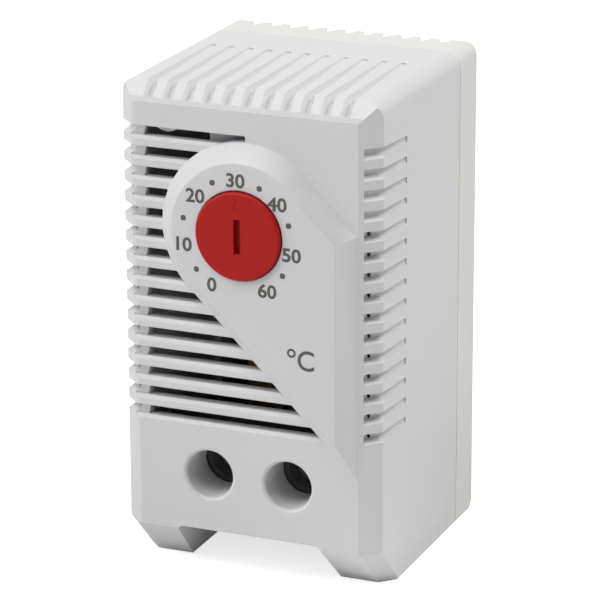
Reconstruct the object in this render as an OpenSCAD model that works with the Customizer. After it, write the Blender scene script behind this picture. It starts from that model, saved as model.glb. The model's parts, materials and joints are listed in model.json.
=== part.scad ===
// Bimetal cabinet thermostat for a 35 mm rail.
// Drawn from the front face: x to the right, y to the back, z up from the feet.

/* [Housing] */
// Outer width
body_w = 33; // [31:0.5:36]
// Outer height
body_h = 60.7; // [59.7:0.1:66]
// Front face to rear face
body_d = 33.2; // [32.2:0.2:36]
// Wall thickness
wall = 1.6; // [1.3:0.1:1.8]
// Bevel along the front edges
edge_bevel = 2; // [1.6:0.1:2.4]
// Radius along the top side edges
top_round = 2; // [1:0.1:2.4]
// Radius under the feet
foot_round = 0.3; // [0.2:0.1:1.2]
// Front face to the seam
seam_y = 27; // [26.6:0.1:27.6]
// Gap at the seam
seam_gap = 0.12; // [0.06:0.02:0.2]
// Inward lean of the rear cover
rear_lean = 0.05; // [0:0.05:0.4]
// Bevel round the rear face
rear_bevel = 0.3; // [0.2:0.1:1]

/* [Feet] */
// Width of the channel between the feet
channel_w = 18.6; // [17.6:0.2:19.4]
// Height of the channel
channel_h = 5.8; // [5.2:0.1:6.4]
// Radius in the channel corners
channel_round = 0.7; // [0.4:0.1:1]
// Depth of the cut toes
toe_cut = 5.4; // [4.6:0.1:6]
// Height where the toe cut starts
toe_h = 5.4; // [4.8:0.1:6]
// Bevel at the rear of the feet
rear_foot = 1.3; // [0.4:0.1:2]
// Widening of the channel towards the floor
channel_flare = 0.6; // [0:0.1:0.8]

/* [Louvres] */
// Slot width
slot_gap = 1.25; // [1:0.05:1.35]
// Number of rows on front and sides
slot_rows = 15; // [12:1:15]
// Number of slots along the top
top_slots = 11; // [7:2:11]
// Top of the housing to the first row
first_row_drop = 5.9; // [5.4:0.1:6.4]
// Terminal screws to the last row
last_row_rise = 7.2; // [7:0.1:7.6]
// Side of the housing to the first top slot
top_slot_inset = 4.1; // [3.6:0.1:5]
// Rounded-off lower lip of the front slots
slot_lip = 0.4; // [0.2:0.05:0.6]
// Depth of the grooves at their rear end
groove_depth = 0.3; // [0.2:0.05:0.5]
// Rows at the top whose grooves are closed at the bevel
blind_rows = 4; // [0:1:8]
// Lip left between a groove and the front face
groove_lip = 0.25; // [0.1:0.05:0.3]
// Rear end of the side grooves
side_slot_end = 9.4; // [8:0.1:12]
// Rear end of the top grooves
top_slot_end = 19.8; // [16:0.2:22]
// Length of the slots in the rear top edge
rear_slot_len = 2; // [1:0.1:2.4]

/* [Dial] */
// Top of the housing to the knob centre
dial_drop = 16.7; // [16.4:0.1:17]
// Radius of the dial field at its base
dial_r = 10.7; // [10:0.1:10.9]
// Height of the dial field and width of its bevel
dial_raise = 2; // [1.8:0.1:2.2]
// Right edge of the dial field
dial_right = 14.1; // [13.7:0.1:14.1]

/* [Knob] */
// Knob diameter
knob_d = 10.7; // [10:0.1:11]
// Radial clearance in the housing
knob_clear = 0.1; // [0.05:0.01:0.1]
// Height above the dial field
knob_proud = 0.6; // [0.3:0.1:1]
// Length of the screwdriver slot
knob_slot_len = 4.2; // [3.4:0.1:5]
// Width of the screwdriver slot
knob_slot_w = 0.8; // [0.6:0.05:1.1]
// Depth of the screwdriver slot
knob_slot_depth = 1; // [0.7:0.1:1.3]
// Half of the turning range in degrees
knob_half_turn = 150; // [140:1:152]

/* [Spindle] */
// Outside diameter of the thread
spindle_d = 3.9; // [3.6:0.1:4.2]
// Radial clearance of thread and socket
spindle_clear = 0.05; // [0.03:0.01:0.08]
// Width across the flats of the drive end
spindle_flat = 3; // [2.6:0.1:3.1]

/* [Mechanism] */
// Front face to the mechanism frame
frame_y = 6.5; // [6.4:0.1:6.8]
// Sheet thickness of frame and arm
sheet = 1; // [0.8:0.1:1.1]
// Top of the housing to the arm pivot
pivot_drop = 4.8; // [4.6:0.1:5]
// Pivot pin diameter
pivot_d = 1.6; // [1.4:0.1:1.8]
// Front face to the front of the setting arm
arm_y = 12.5; // [12.4:0.1:12.8]
// Bimetal thickness
bimetal_t = 0.5; // [0.4:0.05:0.7]
// Bimetal width
bimetal_w = 6; // [5:0.2:6.4]
// Lower end of the bimetal
bimetal_z = 23.8; // [23.2:0.1:24.6]
// Height of the pusher
pusher_z = 26.3; // [25.8:0.1:26.8]
// Gap between pusher and contact spring
pusher_gap = 0.5; // [0.48:0.01:0.7]
// Wire of the arm spring
spring_wire = 0.4; // [0.3:0.05:0.45]
// Turns of the arm spring
spring_turns = 3; // [2:0.5:3]

/* [Switch] */
// Front face to the terminal plates
plate_y = 17.1; // [16.9:0.1:17.3]
// Terminal plate thickness
plate_t = 1.2; // [1:0.1:1.4]
// Contact spring thickness
leaf_t = 0.25; // [0.2:0.05:0.35]
// Contact spring width
leaf_w = 5; // [4.4:0.1:5]
// Height of the contacts
contact_z = 31.3; // [30.8:0.1:31.8]
// Contact head diameter
contact_d = 3; // [2.6:0.1:3.4]
// Gap between the closed contacts
contact_gap = 0.05; // [0.03:0.01:0.1]
// Clear distance between right plate and leaf
leaf_stand = 1.7; // [1.6:0.05:2]

/* [Terminals] */
// Distance between the two terminals
term_pitch = 10.2; // [10:0.1:10.6]
// Height of the terminal screws
term_z = 12.9; // [12.5:0.1:13.3]
// Driver hole diameter
driver_d = 6; // [5.6:0.1:6.2]
// Depth of the driver tubes
driver_len = 6; // [5.4:0.1:6]
// Screw head diameter
screw_head_d = 5.2; // [5:0.1:5.4]
// Screw thread diameter
screw_d = 3.5; // [3:0.1:3.6]
// Radial clearance of screw and cage
screw_clear = 0.05; // [0.03:0.01:0.08]
// Cage width
cage_w = 7; // [6.6:0.1:7.2]
// Cage height
cage_h = 6; // [5:0.2:6.4]
// Cage sheet thickness
cage_t = 1; // [0.8:0.1:1.1]
// Wire hole diameter
wire_d = 3.8; // [3.4:0.1:3.9]

/* [Rail clip] */
// Rail height
rail_h = 35; // [34.8:0.1:35.4]
// Rail centre height
rail_z = 30.5; // [28:0.5:33]
// Slot for the rail flange
rail_slot = 1.3; // [1.1:0.1:1.6]
// Rear face to the rail seat
rail_stand = 2.6; // [2.4:0.1:3.6]
// Overlap of the upper hooks
hook_over = 2.1; // [1.6:0.1:2.6]
// Thickness of the hook lips
hook_lip = 3.3; // [2.6:0.1:3.6]
// Outer half width of the hooks
hook_x = 11; // [10.4:0.1:11.6]

/* [Hidden] */
$fn = 64;
// joining overlap, cut-through margin, loose fit between mouldings, snug hole
eps = 0.05;
over = 1;
fit = 0.1;
snug = 0.02;

// main places
half_w = body_w / 2;
seat_y = body_d + rail_stand;
clip_back = seat_y + rail_slot + hook_lip;
knob_front = dial_raise + knob_proud;
front_y = -(clip_back - knob_front) / 2;
rail_play = 0.2;
rail_top = rail_z + rail_h / 2 + rail_play;
rail_low = rail_z - rail_h / 2 - rail_play;
floor_z = channel_h + wall;
dial_z = body_h - dial_drop;
term_x = term_pitch / 2;

// softened edge between the front face and its bevels
edge_soft = 0.35;

// louvres
first_row_z = body_h - first_row_drop;
last_row_z = term_z + last_row_rise;
slot_pitch = (first_row_z - last_row_z) / (slot_rows - 1);
top_pitch = (body_w - 2 * top_slot_inset) / (top_slots - 1);
groove_x = half_w - edge_bevel + groove_lip;
groove_tip = 0.1;
groove_start = 1;
groove_hollow = 0.85;
bevel_skin = (2 * wall - edge_bevel) / sqrt(2);
blind_floor = 0.1;
blind_depth = bevel_skin - blind_floor;
open_reach = 0.35;
open_depth = bevel_skin + open_reach;
groove_out = 0.1;
slot_web = 1.4;
slot_from = half_w - edge_bevel - slot_web;
rear_groove_depth = 1.2;

// dial field
core_step = wall * (sqrt(2) - 1);
core_front = wall - dial_raise;
strip_step = 0.03;

// shell details
tube_wall = 1.2;
hole_rim = 0.3;
snap_z = [body_h / 3, body_h * 3 / 4];
snap_half = 2.6;
snap_reach = 0.55;
snap_y = seam_y - 2.2;
snap_rise = 1.7;
lip_t = 1.3;
lip_len = 4.2;
lip_inset = 2;
top_lip_half = 6;

// rail clip
hook_w = 3.5;
hook_tip = 1.4;
hook_body = 3.4;
hook_edge = 1;
bar_t = 1.8;
seat_end = 2;
seat_relief = 0.1;
relief_drop = 0.3;
tongue_half = 5;
tongue_gap = 0.7;
tongue_clear = 0.8;
tongue_root = 13;
tongue_web = 2;
tongue_tail = 6.6;
catch_over = 1.5;
catch_low = 3.2;
catch_back = 0.6;
release_half = 2;
release_h = 1;

// knob and spindle, along y
knob_edge = 0.2;
flange_lap = 0.95;
flange_d = knob_d + 2 * flange_lap;
flange_y = core_front + fit;
flange_t = 1;
lug_lap = 0.9;
lug_r = flange_d / 2 + lug_lap;
lug_half = 12;
stop_half = 180 - knob_half_turn - lug_half - 1;
stop_gap = 0.3;
stop_t = 1;
mark_w = 1.2;
mark_len = 1.5;
mark_in = 0.7;
mark_depth = 0.06;
hub_d = 7;
hub_gap = 1;
shoulder_gap = 0.25;
hub_end = frame_y - hub_gap;
socket_y = 1;
socket_play = 0.6;
nut_flange_t = 0.7;
nut_flange_y = frame_y - nut_flange_t;
nut_len = 3.6;
nut_end = frame_y + nut_len;
nut_wall = 0.85;
nut_body_d = spindle_d + 2 * nut_wall;
nut_flange_lap = 0.7;
thread_out = 0.9;
tip_d = 2.4;
tip_gap = 0.05;

// mechanism frame and arm
pivot_z = body_h - pivot_drop;
boss_d = 4.2;
boss_x = 10.6;
boss_drop = 4;
boss_hi_z = body_h - boss_drop;
boss_below = 10.7;
boss_lo_z = dial_z - boss_below;
ear = 2.2;
frame_screw_d = 2.2;
screw_head_t = 1.4;
cross_w = 0.5;
cross_len = 3;
plate_x = 7.4;
frame_below = 8;
frame_low = dial_z - frame_below;
frame_strip = 4;
window_x = 3.8;
window_h = 10;
spring_gap = 0.5;
spring_r = pivot_d / 2 + spring_gap;
frame_top = pivot_z + spring_r - spring_wire / 2;
cheek_in = plate_x - sheet;
cheek_h = 4.6;
cheek_end = arm_y + sheet + 2;
arm_x = 5.1;
arm_below = 3;
arm_low = dial_z - arm_below;
arm_neck = 2;
loop_w = 2;
loop_x = 2.4;
loop_t = 0.85;
pin_head = 0.5;
leg_len = 4.4;
pivot_y = arm_y + sheet / 2;
bimetal_y = arm_y + sheet;
bimetal_drop = 2.3;
bimetal_top = pivot_z - bimetal_drop;
rivet_d = 1.8;
rivet_head = 3.2;
rivet_head_t = 0.7;
rivet_in = 1.9;
rivet_hi = bimetal_top - rivet_in;
rivet_pitch = 3.6;
rivet_lo = rivet_hi - rivet_pitch;

// switch, along y
plate_back = plate_y + plate_t;
leaf_y = plate_back + leaf_stand;
fixed_head = 0.7;
rivet_tail = 0.5;
leaf_foot_z = 20.7;
leaf_end = 1.8;
leaf_taper = 0.6;
tongue_cut = 0.4;
tongue_edge = 0.7;
foot_lap = 2;
left_top = leaf_foot_z + foot_lap;
left_reach = 2.4;
arm_half = 2.4;
right_reach = 3.5;
plate_lap = 1.5;
pusher_d = 2.6;
pusher_head = 0.6;
pusher_tip = 0.5;
pusher_end = leaf_y - pusher_gap;

// terminals, along y
carrier_y = driver_len + 2 * fit;
carrier_lip = 2;
carrier_x = 13;
carrier_gap = 1.2;
carrier_end = seam_y - carrier_gap;
base_top = floor_z + fit + wall;
spout_inset = 0.8;
spout_x = channel_w / 2 - spout_inset;
spout_y = 11.2;
funnel = 0.5;
chamber_t = 1.2;
head_gap = 0.3;
head_y = carrier_y + carrier_lip + head_gap;
head_t = 2.2;
head_slot = 0.8;
head_slot_depth = 1.2;
tip_step = 0.4;
shank_end = plate_y - tip_gap;
cage_travel = 2.7;
cage_front = head_y + head_t + cage_travel;
cage_wall = 1.6;
cage_room = 3.9;
cage_inner = plate_back + cage_room;
cage_back = cage_inner + cage_t;
cage_z = term_z - cage_h / 2;
chamber_play = 0.15;
chamber_w = cage_w + 2 * chamber_play;
chamber_end = cage_back + socket_play;
wire_y = plate_back + fit + wire_d / 2;
tab_play = 0.2;
tab_w = cage_w - 2 * cage_t - 2 * tab_play;
tab_seat = 0.8;
tab_z = base_top - tab_seat;
carrier_rise = 2.4;
carrier_top = term_z + cage_h / 2 + carrier_rise;

// Drawing helpers
module along_x(from, to) {
  translate([from, 0, 0]) rotate([90, 0, 90]) linear_extrude(to - from) children();
}
module along_y(from, to) {
  translate([0, to, 0]) rotate([90, 0, 0]) linear_extrude(to - from) children();
}
module along_z(from, to) {
  translate([0, 0, from]) linear_extrude(to - from) children();
}
module block(from, to) {
  translate(from) cube(to - from);
}
module rod_x(d, from, to, y, z) {
  translate([from, y, z]) rotate([0, 90, 0]) cylinder(d = d, h = to - from);
}
module rod_y(d, from, to, x, z) {
  translate([x, from, z]) rotate([-90, 0, 0]) cylinder(d = d, h = to - from);
}
module rod_z(d, from, to, x, y) {
  translate([x, y, from]) cylinder(d = d, h = to - from);
}
module cone_y(d1, d2, from, to, x, z) {
  translate([x, from, z]) rotate([-90, 0, 0]) cylinder(d1 = d1, d2 = d2, h = to - from);
}
module both_sides() {
  children();
  mirror([1, 0, 0]) children();
}

// Outline seen from the front: rounded top corners, channel between the feet
module front_outline() {
  difference() {
    union() {
      translate([-half_w, foot_round]) square([body_w, body_h - top_round - foot_round]);
      translate([-half_w + top_round, foot_round])
        square([body_w - 2 * top_round, body_h - foot_round]);
      translate([-half_w + foot_round, 0])
        square([body_w - 2 * foot_round, body_h / 2]);
      for (s = [-1, 1]) {
        translate([s * (half_w - top_round), body_h - top_round]) circle(top_round);
        translate([s * (half_w - foot_round), foot_round]) circle(foot_round);
      }
    }
    channel_outline();
  }
}
module channel_outline() {
  half = channel_w / 2;
  polygon([[-half - channel_flare, -over], [half + channel_flare, -over],
    [half, channel_h - channel_round], [-half, channel_h - channel_round]]);
  translate([-channel_w / 2 + channel_round, -over])
    square([channel_w - 2 * channel_round, channel_h + over]);
  for (s = [-1, 1])
    translate([s * (channel_w / 2 - channel_round), channel_h - channel_round])
      circle(channel_round);
}

// Outline seen from above: bevelled front corners, leaning rear band
module plan_outline() {
  rear_w = half_w - rear_lean;
  slant = edge_soft / sqrt(2);
  polygon([[-half_w, edge_bevel], [-half_w + edge_bevel - slant, slant],
    [-half_w + edge_bevel + edge_soft, 0], [half_w - edge_bevel - edge_soft, 0],
    [half_w - edge_bevel + slant, slant], [half_w, edge_bevel], [half_w, seam_y],
    [rear_w, body_d - rear_bevel], [rear_w - rear_bevel, body_d],
    [-rear_w + rear_bevel, body_d], [-rear_w, body_d - rear_bevel],
    [-half_w, seam_y]]);
}

// Outline seen from the side: bevelled top edge, cut toes
module side_outline() {
  rear_h = body_h - rear_lean;
  slant = edge_soft / sqrt(2);
  polygon([[0, toe_h], [toe_cut, 0], [body_d - rear_foot, 0],
    [body_d, rear_foot], [body_d, rear_h - rear_bevel],
    [body_d - rear_bevel, rear_h], [seam_y, body_h], [edge_bevel, body_h],
    [slant, body_h - edge_bevel + slant], [0, body_h - edge_bevel - edge_soft]]);
}
module body(from, to) {
  intersection() {
    along_y(from, to) front_outline();
    along_z(-over, body_h + over) plan_outline();
    along_x(-half_w - over, half_w + over) side_outline();
  }
}

// The corner bevel follows the cut toe down to the floor
module toe_corner() {
  n = [toe_h, -toe_h, -toe_cut];
  size = body_w;
  translate([half_w - edge_bevel, 0, toe_h])
    rotate([0, acos(n[2] / norm(n)), atan2(n[1], n[0])])
      translate([-size / 2, -size / 2, 0]) cube(size);
}

// Room inside the shell, with cored feet
module inner_front_outline() {
  in_w = half_w - wall;
  foot_in = channel_w / 2 + wall;
  translate([-in_w, floor_z]) square([2 * in_w, body_h - wall - floor_z]);
  for (s = [-1, 1])
    translate([s > 0 ? foot_in : -in_w, wall]) square([in_w - foot_in, body_h / 2]);
}
module inner_side_outline(to) {
  slant = norm([toe_h, toe_cut]);
  polygon([[wall, toe_h + wall * (slant - toe_h) / toe_cut],
    [toe_cut + wall * (slant - toe_cut) / toe_h, wall],
    [to, wall], [to, body_h - wall], [wall, body_h - wall]]);
}
module cavity(to) {
  intersection() {
    along_y(wall, to) inner_front_outline();
    along_x(-half_w, half_w) inner_side_outline(to);
  }
}

// Dial field: a round part with a strip running to the lower right
module dial_field(r, right, rise) {
  reach = 2 * (dial_right + dial_r);
  half = r - strip_step;
  intersection() {
    union() {
      translate([0, 0, dial_z]) rotate([90, 0, 0])
        cylinder(r1 = r, r2 = r - rise, h = rise);
      translate([0, 0, dial_z]) rotate([0, 45, 0]) along_x(0, reach)
        polygon([[0, -half], [-rise, rise - half], [-rise, half - rise], [0, half]]);
    }
    along_z(0, body_h)
      polygon([[-r - over, 0], [right, 0], [right - rise, -rise], [-r - over, -rise]]);
  }
}
module dial_outline(r, right) {
  reach = 2 * (dial_right + dial_r);
  half = r - strip_step;
  intersection() {
    union() {
      translate([0, dial_z]) circle(r);
      translate([0, dial_z]) rotate(-45) translate([0, -half]) square([reach, 2 * half]);
    }
    translate([-r - over, 0]) square([right + r + over, body_h]);
  }
}

// Louvres
module slot_outline(lower, depth) {
  polygon([[-eps, lower - slot_lip], [slot_lip, lower], [depth, lower],
    [depth, lower + slot_gap], [-eps, lower + slot_gap]]);
}
module front_slots() {
  difference() {
    for (i = [0 : slot_rows - 1]) {
      z = first_row_z - i * slot_pitch;
      lower = z - slot_gap / 2;
      right = max(0, dial_z - z - dial_r);
      along_x(-slot_from, right) slot_outline(lower, wall + eps);
      along_x(-groove_x - eps, eps - slot_from) slot_outline(lower, blind_depth);
    }
    along_y(-over, wall + over) dial_outline(dial_r, dial_right);
  }
}
// Groove section, sharp at the top and running out below
module notch(from, to, depth, height) {
  along_y(from, to)
    polygon([[-depth, 0], [groove_out, 0], [groove_out, -height * (1 + groove_out / depth)],
      [-groove_hollow * depth, -(1 - groove_hollow / 2) * height]]);
}
// One groove over a bevelled edge, running out along the face behind it
module groove(face, mid, end, depth) {
  crown = mid + slot_gap / 2;
  run = end - edge_bevel;
  half = edge_bevel / sqrt(2);
  translate([face - edge_bevel / 2, edge_bevel / 2, crown]) rotate([0, 0, -45])
    notch(groove_lip * sqrt(2) - half, half + depth * tan(22.5), depth, slot_gap);
  translate([face, edge_bevel, crown])
    rotate([-atan((slot_gap / 2 - groove_tip) / run), 0, -atan((groove_start - groove_depth) / run)])
      notch(0, run, groove_start, slot_gap);
}
module side_grooves() {
  for (i = [0 : slot_rows - 1])
    groove(half_w, first_row_z - i * slot_pitch, side_slot_end,
      i < blind_rows ? blind_depth : open_depth);
}
module top_grooves() {
  for (k = [0 : top_slots - 1])
    mirror([1, 0, -1])
      groove(body_h, (k - (top_slots - 1) / 2) * top_pitch, top_slot_end, blind_depth);
}
module rear_grooves() {
  waves = [for (a = [-90 : 10 : 90]) [a / 180 * top_pitch, body_d - rear_slot_len * pow(cos(a), 3)]];
  for (k = [0 : top_slots - 1])
    along_z(body_h - rear_groove_depth, body_h + over)
      translate([(k - (top_slots - 1) / 2) * top_pitch, 0])
        polygon([[-top_pitch / 2, body_d + eps], each waves, [top_pitch / 2, body_d + eps]]);
}

// Wedge of a ring, used for the knob stop and its lug
module sector(r, half, up) {
  intersection() {
    circle(r);
    polygon([[0, 0], [-2 * r * sin(half), up * 2 * r * cos(half)],
      [2 * r * sin(half), up * 2 * r * cos(half)]]);
  }
}

module front_housing() {
  color("#C9CACC") difference() {
    union() {
      difference() {
        union() {
          difference() {
            body(0, seam_y);
            toe_corner();
            mirror([1, 0, 0]) toe_corner();
          }
          dial_field(dial_r, dial_right, dial_raise);
        }
        cavity(seam_y + over);
        translate([0, wall + eps, 0])
          dial_field(dial_r - core_step + eps, dial_right - core_step + eps, dial_raise + eps);
        front_slots();
        both_sides() side_grooves();
        top_grooves();
      }
      // driver tubes
      for (s = [-1, 1])
        rod_y(driver_d + 2 * tube_wall, wall - eps, driver_len, s * term_x, term_z);
      // screw bosses of the mechanism frame
      rod_y(boss_d, wall - eps, frame_y, -boss_x, boss_hi_z);
      rod_y(boss_d, core_front - eps, frame_y, boss_x, boss_lo_z);
      // stop for the knob lug
      along_y(core_front - eps, flange_y + flange_t) translate([0, dial_z]) difference() {
        sector(flange_d / 2 + stop_gap + stop_t, stop_half, 1);
        circle(flange_d / 2 + stop_gap);
      }
    }
    // knob hole
    rod_y(knob_d + 2 * knob_clear, -dial_raise - over, core_front + eps, 0, dial_z);
    // driver holes
    for (s = [-1, 1]) {
      rod_y(driver_d, -over, driver_len + over, s * term_x, term_z);
      cone_y(driver_d + 2 * (hole_rim + eps), driver_d, -eps, hole_rim, s * term_x, term_z);
    }
    // pilot holes
    rod_y(frame_screw_d, wall * 1.5, frame_y + over, -boss_x, boss_hi_z);
    rod_y(frame_screw_d, wall * 1.5, frame_y + over, boss_x, boss_lo_z);
    // way for the carrier, open to the rear
    block([-spout_x - fit, spout_y - fit, channel_h - over],
      [spout_x + fit, seam_y + over, floor_z + over]);
    // pockets for the snaps of the cover
    both_sides() for (z = snap_z)
      block([half_w - wall - over, snap_y - snap_rise, z - snap_half - 2 * fit],
        [half_w - wall + snap_reach + fit, snap_y + 2 * fit, z + snap_half + 2 * fit]);
  }
}

module rear_cover() {
  in_w = half_w - wall;
  lip_w = in_w - fit;
  inner_back = body_d - wall;
  color("#BFC0C0") difference() {
    union() {
      difference() {
        body(seam_y + seam_gap, body_d);
        intersection() {
          along_y(seam_y, inner_back) inner_front_outline();
          along_x(-half_w, half_w) inner_side_outline(inner_back);
          block([-in_w + rear_lean, seam_y - over, 0],
            [in_w - rear_lean, body_d, body_h - wall - rear_lean]);
        }
        rear_grooves();
      }
      both_sides() {
        // lip that locates in the housing, with its snaps
        block([lip_w - lip_t, seam_y - lip_len, floor_z + lip_inset],
          [lip_w, inner_back + eps, body_h - wall - lip_inset]);
        for (z = snap_z)
          along_z(z - snap_half, z + snap_half)
            polygon([[lip_w - eps, snap_y - snap_rise + fit],
              [lip_w + snap_reach, snap_y - snap_reach], [lip_w + snap_reach, snap_y],
              [lip_w - eps, snap_y]]);
        // ribs that hold the carrier
        block([carrier_x - 2 * wall, carrier_end + fit, base_top],
          [carrier_x - wall, inner_back + eps, carrier_top]);
        rail_hook();
      }
      block([-top_lip_half, seam_y - lip_len, body_h - wall - fit - lip_t],
        [top_lip_half, inner_back + eps, body_h - wall - fit]);
      // cross bar between the hooks
      block([-hook_x + hook_edge, body_d - eps, rail_top + hook_edge],
        [hook_x - hook_edge, body_d + rail_stand / 2, rail_top + hook_edge + bar_t]);
      rail_catch();
    }
    // opening for a driver in the release tab
    block([-release_half, body_d + tongue_gap / 2, rail_low - tongue_tail + release_h],
      [release_half, seat_y, rail_low - tongue_tail + 2 * release_h]);
  }
}

// Seat rib with its fixed upper hook
module rail_hook() {
  lip_z = rail_top - hook_over;
  end_z = rail_low - seat_end;
  along_x(hook_x - hook_w, hook_x)
    polygon([[body_d - eps, end_z], [seat_y - hook_edge, end_z],
      [seat_y, end_z + hook_edge], [seat_y, lip_z - relief_drop],
      [seat_y - seat_relief, lip_z - relief_drop], [seat_y - seat_relief, rail_top],
      [seat_y + rail_slot, rail_top],
      [seat_y + rail_slot, lip_z], [clip_back - hook_tip, lip_z],
      [clip_back, lip_z + hook_tip], [clip_back, rail_top + hook_body - hook_edge],
      [clip_back - hook_edge, rail_top + hook_body], [body_d - eps, rail_top + hook_body]]);
}

// Sprung lower hook on a tongue, with its release tab
module rail_catch() {
  front = body_d + tongue_gap;
  back = seat_y - tongue_clear;
  tip = clip_back - catch_back;
  tail = rail_low - tongue_tail;
  along_x(-tongue_half, tongue_half)
    polygon([[body_d - eps, rail_low + tongue_root + tongue_web],
      [body_d - eps, rail_low + tongue_root - tongue_web / 2],
      [front, rail_low + tongue_root - tongue_web], [front, tail], [back, tail],
      [back, rail_low - catch_low - tongue_clear], [tip, rail_low - catch_low],
      [tip, rail_low - catch_over], [seat_y + rail_slot, rail_low + catch_over],
      [seat_y + rail_slot, rail_low], [back, rail_low], [back, rail_low + tongue_root]]);
}

module contact_carrier() {
  color("#3A3B3D") difference() {
    union() {
      block([-carrier_x, carrier_y, floor_z + fit], [carrier_x, carrier_end, base_top]);
      block([-spout_x, spout_y, channel_h], [spout_x, seam_y, floor_z + 2 * fit]);
      // front wall
      block([-carrier_x, carrier_y, base_top - eps],
        [carrier_x, carrier_y + carrier_lip, carrier_top]);
      // rear wall
      block([-carrier_x, chamber_end, base_top - eps], [carrier_x, carrier_end, carrier_top]);
      // chamber walls
      for (s = [-1, 1], e = [-1, 1]) {
        x = s * (term_x + e * (chamber_w + chamber_t) / 2);
        block([x - chamber_t / 2, carrier_y + eps, base_top - eps],
          [x + chamber_t / 2, carrier_end - eps, carrier_top]);
      }
    }
    for (s = [-1, 1]) {
      // lip in front of the screw head
      rod_y(screw_head_d - tip_step, carrier_y - over, carrier_y + carrier_lip + over, s * term_x, term_z);
      // wire entry with its funnel
      rod_z(wire_d, channel_h - over, base_top + over, s * term_x, wire_y);
      translate([s * term_x, wire_y, channel_h - eps])
        cylinder(d1 = wire_d + 2 * funnel, d2 = wire_d, h = funnel);
      // groove for the terminal plate
      block([s * term_x - tab_w / 2 - fit, plate_y - eps, tab_z - eps],
        [s * term_x + tab_w / 2 + fit, plate_back + eps, base_top + over]);
    }
    // way for the left plate across to the contact spring and for the right riser
    block([-term_x - tab_w / 2 - fit, plate_y - fit, carrier_top - plate_lap - fit],
      [term_x + chamber_w, plate_back + fit, carrier_top + over]);
  }
}

module setting_knob() {
  color("#A8241F") difference() {
    union() {
      translate([0, 0, dial_z]) rotate([-90, 0, 0]) rotate_extrude()
        polygon([[0, -knob_front], [knob_d / 2 - knob_edge, -knob_front],
          [knob_d / 2, -knob_front + knob_edge], [knob_d / 2, flange_y],
          [flange_d / 2, flange_y], [flange_d / 2, flange_y + flange_t],
          [hub_d / 2, flange_y + flange_t], [hub_d / 2, hub_end], [0, hub_end]]);
      // lug that meets the stop
      along_y(flange_y, flange_y + flange_t) translate([0, dial_z]) difference() {
        sector(lug_r, lug_half, -1);
        circle(hub_d / 2);
      }
    }
    // screwdriver slot
    block([-knob_slot_w / 2, -knob_front - over, dial_z - knob_slot_len / 2],
      [knob_slot_w / 2, -knob_front + knob_slot_depth, dial_z + knob_slot_len / 2]);
    // pointer mark
    along_y(-knob_front - over, -knob_front + mark_depth)
      translate([0, dial_z + knob_d / 2 - mark_in])
        polygon([[0, 0], [-mark_w / 2, -mark_len], [mark_w / 2, -mark_len]]);
    // drive socket
    translate([0, socket_y, dial_z]) rotate([-90, 0, 0])
      linear_extrude(hub_end - socket_y + over) hexagon(spindle_flat + 2 * spindle_clear);
  }
}
module hexagon(flat) {
  r = flat / 2 / cos(30);
  polygon([for (i = [0 : 5]) [r * cos(60 * i), r * sin(60 * i)]]);
}

module adjusting_spindle() {
  shoulder = hub_end + shoulder_gap;
  ball_y = arm_y - tip_gap - tip_d / 2;
  color("#C9A24A") {
    translate([0, socket_y + socket_play, dial_z]) rotate([-90, 0, 0])
      linear_extrude(shoulder - socket_y - socket_play + eps) hexagon(spindle_flat);
    rod_y(spindle_d, shoulder, nut_end + thread_out, 0, dial_z);
    rod_y(tip_d, nut_end + thread_out - eps, ball_y, 0, dial_z);
    translate([0, ball_y, dial_z]) sphere(d = tip_d);
  }
}

module spindle_nut() {
  color("#B8923E") difference() {
    union() {
      rod_y(nut_body_d + 2 * nut_flange_lap, nut_flange_y, frame_y, 0, dial_z);
      rod_y(nut_body_d, frame_y - eps, nut_end, 0, dial_z);
    }
    rod_y(spindle_d + 2 * spindle_clear, nut_flange_y - over, nut_end + over, 0, dial_z);
  }
}

module mechanism_frame() {
  back = frame_y + sheet;
  color("#A9ADB0") difference() {
    union() {
      block([-plate_x, frame_y, frame_low], [plate_x, back, frame_top]);
      block([-boss_x - ear, frame_y, boss_hi_z - ear], [-plate_x + eps, back, boss_hi_z + ear]);
      block([plate_x - frame_strip, frame_y, boss_lo_z - ear],
        [boss_x + ear, back, boss_lo_z + ear]);
      block([plate_x - frame_strip, frame_y, boss_lo_z], [plate_x, back, frame_low + eps]);
      // cheeks that carry the pivot pin
      both_sides() block([cheek_in, frame_y, pivot_z - cheek_h],
        [plate_x, cheek_end, frame_top]);
    }
    rod_y(nut_body_d + 2 * spindle_clear, frame_y - over, back + over, 0, dial_z);
    rod_x(pivot_d + 2 * snug, -plate_x - over, plate_x + over, pivot_y, pivot_z);
    rod_y(frame_screw_d + 2 * fit, frame_y - over, back + over, -boss_x, boss_hi_z);
    rod_y(frame_screw_d + 2 * fit, frame_y - over, back + over, boss_x, boss_lo_z);
    // air windows
    both_sides() block([window_x, frame_y - over, dial_z - window_h / 2],
      [cheek_in - sheet, back + over, dial_z + window_h / 2]);
  }
}

module frame_screws() {
  back = frame_y + sheet;
  head = back + screw_head_t;
  color("#B9BCBF") for (p = [[-boss_x, boss_hi_z], [boss_x, boss_lo_z]]) difference() {
    union() {
      rod_y(frame_screw_d - 2 * snug, wall * 1.5 + fit, back + eps, p[0], p[1]);
      rod_y(2 * frame_screw_d, back, head, p[0], p[1]);
    }
    for (c = [[cross_len, cross_w], [cross_w, cross_len]])
      block([p[0] - c[0] / 2, back + screw_head_t / 2, p[1] - c[1] / 2],
        [p[0] + c[0] / 2, head + over, p[1] + c[1] / 2]);
  }
}

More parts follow.
